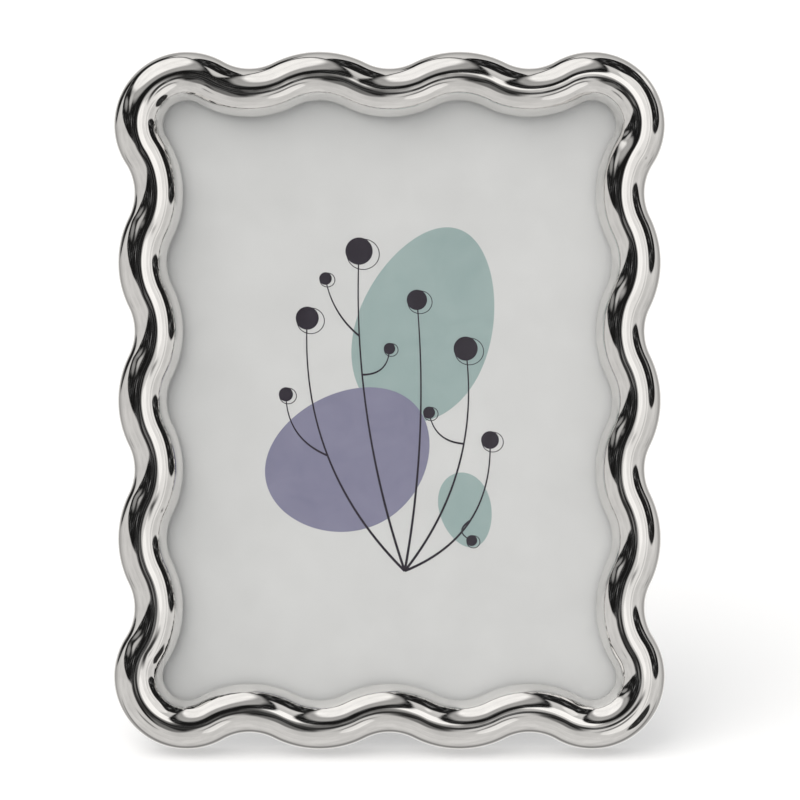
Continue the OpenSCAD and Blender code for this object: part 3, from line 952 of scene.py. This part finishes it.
buttonPlaces = [at(x / mm, y / mm, turn=0 if x < 0 else 180) for x, y in screwSpots]
buttonNames = [(side, row) for side in ("left", "right") for row in ("low", "mid", "high")]
buttonMaster = addButton()
for place, (side, row) in zip(buttonPlaces, buttonNames):
    copyTo(buttonMaster, stand @ place)
    finishPiece(nameIt("turnButton" + side.title() + row.title()), "button_%s_%s" % (side, row),
                "button_steel", "nickelPlate", "turn_button_%s_%s" % (side, row))
bpy.data.objects.remove(buttonMaster)
screwPlaces = [at(x / mm, y / mm, turn=turn) for (x, y), turn in zip(screwSpots, screw["turns"])]
finishPiece(setOut(addScrew(), [stand @ place for place in screwPlaces], "buttonScrews"),
            "frame", "button_steel", "nickelPlate", "button_screws")
print("turn buttons made")


# Sawtooth hangers and their nails

hanger = dict(length=46, width=9, thick=0.8, pad=6.5, rise=1.6, teeth=9, tooth=1.6, corner=1,
              edge=0.13, places=(("portrait", 0, 84.2, 0), ("landscape", -58.8, 0, 90)))
nail = dict(shank=0.6, head=1.5, headThick=0.5, length=2.4, hole=0.65, tip=0.1, taper=0.8,
            around=28, dome=((1, 0), (1, 0.3), (0.85, 0.75), (0.45, 1)))
nailPair = [at(side * (hanger["length"] - hanger["pad"]) / 2, 0) for side in sides]
nails = [at(x, y, turn=turn) @ place for _, x, y, turn in hanger["places"] for place in nailPair]


def addHanger():
    # A strip marked across, its middle raised, and its lower edge drawn into teeth
    half, low = hanger["length"] / 2, -hanger["width"] / 2
    rise, teeth = hanger["rise"], hanger["teeth"]
    bridge = half - hanger["pad"]
    flat = bridge - rise
    toothWidth = 2 * flat / teeth
    piece = addBox("hanger", (-half, low, -hanger["thick"]), (half, -low, 0))
    roundCorners(piece, hanger["corner"])
    for x in [-bridge, bridge] + [-flat + i * toothWidth / 2 for i in range(2 * teeth + 1)]:
        cutAcross(piece, (x, 0, 0), (1, 0, 0), clear=False)
    shift(piece, lambda point: abs(point.x) < flat + near, (0, 0, -rise))

    def isValley(point):
        place = (point.x + flat) / toothWidth
        midTooth = abs(place - floor(place) - 0.5) < 0.1
        return abs(point.x) < flat and point.y < low + near and midTooth

    shift(piece, isValley, (0, hanger["tooth"], 0))
    ease(piece, hanger["edge"])
    drill(piece, nailPair, (nail["hole"], -hanger["thick"] - overrun, overrun))
    return piece


def addNail():
    shank, length, face = nail["shank"], nail["length"], -hanger["thick"]
    return addTurned("hangerNail", [
        (nail["tip"], length), (shank, length - nail["taper"]), (shank, face)
    ] + domed(nail["head"], face, nail["headThick"], nail["dome"]), around=nail["around"])


hangerMaster = addHanger()
for way, x, y, turn in hanger["places"]:
    copyTo(hangerMaster, stand @ at(x, y, turn=turn))
    finishPiece(nameIt("hanger" + way.title()), "frame", "brassed_steel", "brassedPlate",
                "hanger_" + way)
bpy.data.objects.remove(hangerMaster)
finishPiece(setOut(addNail(), [stand @ place for place in nails], "hangerNails"),
            "frame", "brassed_steel", "brassedPlate", "hanger_nails")
print("hangers made")


# Back board, its lining and the filler card

def addSheet(name, low, high, edge, *drillings):
    # One sheet of the back, with the holes that go through it
    sheet = addSlab(name, backing["width"], backing["height"], low, high, edge)
    for places, *bores in drillings:
        drill(sheet, places, *bores)
    moveTo(sheet, stand)
    return sheet


boardHoles = [at(0, hinge["axisY"]) @ place for place in boardRivets]
rivetHole = (rivet["hole"], -overrun, boardFront + overrun)
clinchHole = (rivet["head"], boardFront - rivet["thick"], boardFront + overrun)
nailHole = (nail["hole"], -overrun, nail["length"] + nail["hole"] - nail["shank"])
finishPiece(addSheet("liningSheet", 0, backing["lining"], backing["liningEdge"],
                     (boardHoles, rivetHole), (nails, nailHole)),
            "frame", "lining", "flock", "board_lining")
finishPiece(addSheet("backBoard", backing["lining"], boardFront, backing["boardEdge"],
                     (boardHoles, rivetHole, clinchHole), (nails, nailHole)),
            "frame", "board", "fibreboard", "back_board")
finishPiece(addSheet("fillerCard", boardFront, boardFront + backing["filler"],
                     backing["fillerEdge"]),
            "frame", "card", "plainCard", "filler_card")
print("back made")


# Studio: even soft light for matt surfaces, and the lit panels and black flags that metal mirrors.
# The floor's size is its radius, in metres.

studio = dict(
    warmth=(1, 0.983, 0.96), backdrop=1.0, floorSize=8, floorAround=128, floorTone=0.8,
    floorLift=0.3,
    # Matt surfaces see even light and one large softbox high on the left.
    roomLight=0.62, softbox=(123, 58, 33, 30, 0, 2.5, 0.35),
    # A slight ripple keeps the panels' edges from looking drawn. The panels are a little uneven,
    # and the flags have paler streaks.
    ripple=0.05, rippleNoise=dict(scale=2.6, rough=0.6),
    cloud=dict(scale=3.4, detail=5, rough=0.6), cloudTones=((0.3, 0.8), (0.62, 1.0)),
    streak=dict(scale=7.5, detail=5, rough=0.65, distortion=0.5),
    streakTones=((0.46, 0), (0.56, 0.03), (0.7, 0.24)),
    # Level by how far a direction looks back to the viewer: -1 from behind the frame, 1 in front
    levels=((-1, 1.0), (-0.88, 0.9), (-0.75, 0.4), (-0.6, 0.45), (-0.3, 0.68), (0, 0.74),
            (0.5, 0.72), (1, 0.66)),
    # Each panel or flag: turn about the viewer's axis, angle from that axis, half its reach away
    # from the axis and across, its own turn, level, edge softness. A later one hides an earlier.
    panels=(
        (57, 78, 27, 30, 0, 0.012, 0.06), (24, 74, 29, 28, 8, 0.012, 0.06),
        (40, 113, 8, 9, 0, 1.0, 0.25), (22, 86, 2.5, 12, -14, 0.3, 0.5),
        (352, 34, 20, 46, 0, 0.97, 0.05, "square"), (0, 44, 2.5, 30, 0, 0.72, 0.4),
        (42, 14.5, 11, 16, 0, 1.15, 0.1),
        (180, 15, 16, 34, 8, 0.2, 0.15), (172, 22, 5.5, 31, 10, 0.012, 0.25),
        (190, 6, 4, 25, -6, 0.012, 0.3), (268, 12, 5, 24, 0, 0.04, 0.4),
        (128, 60, 55, 43, -8, 0.01, 0.04), (117, 62, 42, 31, 0, 0.42, 0.1),
        (117, 71, 34, 27.5, 0, 1.08, 0.12), (154, 56, 12, 3.6, -22, 0.6, 0.6),
        (159, 74, 13, 3.2, -16, 0.3, 0.5), (128, 118, 8, 24, 0, 0.02, 0.2),
        (156, 122, 13, 16, -25, 0.02, 0.15), (228, 52, 4, 10, 0, 0.3, 0.4),
        (300, 30, 4, 10, 0, 0.25, 0.4), (270, 129, 9, 60, 0, 0.28, 0.4, "square"),
        (318, 76, 17, 14, 0, 0.03, 0.12)))


def warm(level):
    return [level * part for part in studio["warmth"]]


def grey(stops):
    return [(place, [level] * 3) for place, level in stops]


def addPanel(tree, look, under, turn, angle, reach, across, spin, level, soft, shape="oval"):
    # Paints one panel or flag over the tones under it, round its own direction.
    aim = Matrix.Rotation(radians(turn), 3, "Z") @ Matrix.Rotation(radians(angle), 3, "Y") @ (
        Matrix.Rotation(radians(spin), 3, "Z"))
    local = addNode(tree, "ShaderNodeMapping", vector_type="TEXTURE", Vector=look,
                    Rotation=aim.to_euler(),
                    Scale=(tan(radians(reach)), tan(radians(across)), 1)).outputs["Vector"]
    axes = addNode(tree, "ShaderNodeSeparateXYZ", local).outputs
    power = 4 if shape == "square" else 2
    ahead = calc(tree, "MAXIMUM", axes["Z"], 0.001)  # never quite zero
    x, y = [calc(tree, "POWER", calc(tree, "ABSOLUTE", axes[axis]), power) for axis in "XY"]
    away = calc(tree, "DIVIDE", calc(tree, "POWER", calc(tree, "ADD", x, y), 1 / power), ahead)
    cover = span(tree, away, 0, 1, 1 + soft, 1 - soft, interpolation_type="SMOOTHSTEP")
    return mixColours(tree, under, (*warm(level), 1), factor=cover)


def buildStudio():
    bpy.context.scene.world = bpy.data.worlds.new("studioWorld")
    tree = emptyTree(bpy.context.scene.world)
    point = addNode(tree, "ShaderNodeTexCoord").outputs["Generated"]
    turned = addNode(tree, "ShaderNodeVectorRotate", rotation_type="EULER_XYZ", invert=True,
                     Vector=point, Rotation=faceTurn.to_euler()).outputs["Vector"]
    wander = addNode(tree, "ShaderNodeVectorMath",
                     noise(tree, turned, kind="Color", **studio["rippleNoise"]),
                     [studio["ripple"]] * 3, [-studio["ripple"] / 2] * 3, operation="MULTIPLY_ADD")
    look = addNode(tree, "ShaderNodeVectorMath", turned, wander.outputs["Vector"],
                   operation="ADD").outputs["Vector"]
    back = addNode(tree, "ShaderNodeSeparateXYZ", look).outputs["Z"]
    tone = ramp(tree, span(tree, back, 0, 1, -1, 1),
                [((height + 1) / 2, warm(level)) for height, level in studio["levels"]])
    for panel in studio["panels"]:
        tone = addPanel(tree, look, tone, *panel)
    for kind, name in (("MULTIPLY", "cloud"), ("LIGHTEN", "streak")):
        tones = ramp(tree, noise(tree, look, **studio[name]), grey(studio[name + "Tones"]))
        tone = mixColours(tree, tone, tones, kind=kind)
    room = (*[studio["roomLight"]] * 3, 1)
    lit = addPanel(tree, turned, room, *studio["softbox"])
    soft, mirrored, white = [
        addNode(tree, "ShaderNodeBackground", Color=colour, Strength=strength).outputs["Background"]
        for colour, strength in ((lit, 1), (tone, 1), ((1, 1, 1, 1), studio["backdrop"]))]
    path = addNode(tree, "ShaderNodeLightPath").outputs
    seen = mixShaders(tree, path["Is Glossy Ray"], soft, mirrored)
    addNode(tree, "ShaderNodeOutputWorld",
            Surface=mixShaders(tree, path["Is Camera Ray"], seen, white))


def addFloor():
    dropSelection()
    bpy.ops.mesh.primitive_circle_add(vertices=studio["floorAround"], radius=studio["floorSize"],
                                      fill_type="NGON")
    floorDisc = nameIt("studioFloor")
    material = bpy.data.materials.new("studioFloor")
    tree = emptyTree(material)
    matt = addNode(tree, "ShaderNodeBsdfDiffuse",
                   Color=(*[studio["floorTone"]] * 3, 1)).outputs["BSDF"]
    lift = addNode(tree, "ShaderNodeEmission", Color=(1, 1, 1, 1),
                   Strength=studio["floorLift"]).outputs["Emission"]
    both = addNode(tree, "ShaderNodeAddShader", matt, lift).outputs["Shader"]
    path = addNode(tree, "ShaderNodeLightPath").outputs
    addNode(tree, "ShaderNodeOutputMaterial",
            Surface=mixShaders(tree, path["Is Camera Ray"], matt, both))
    floorDisc.data.materials.append(material)
    floorDisc.visible_glossy = False


buildStudio()
addFloor()
print("studio ready")

bpy.context.scene.view_settings.view_transform = "Standard"
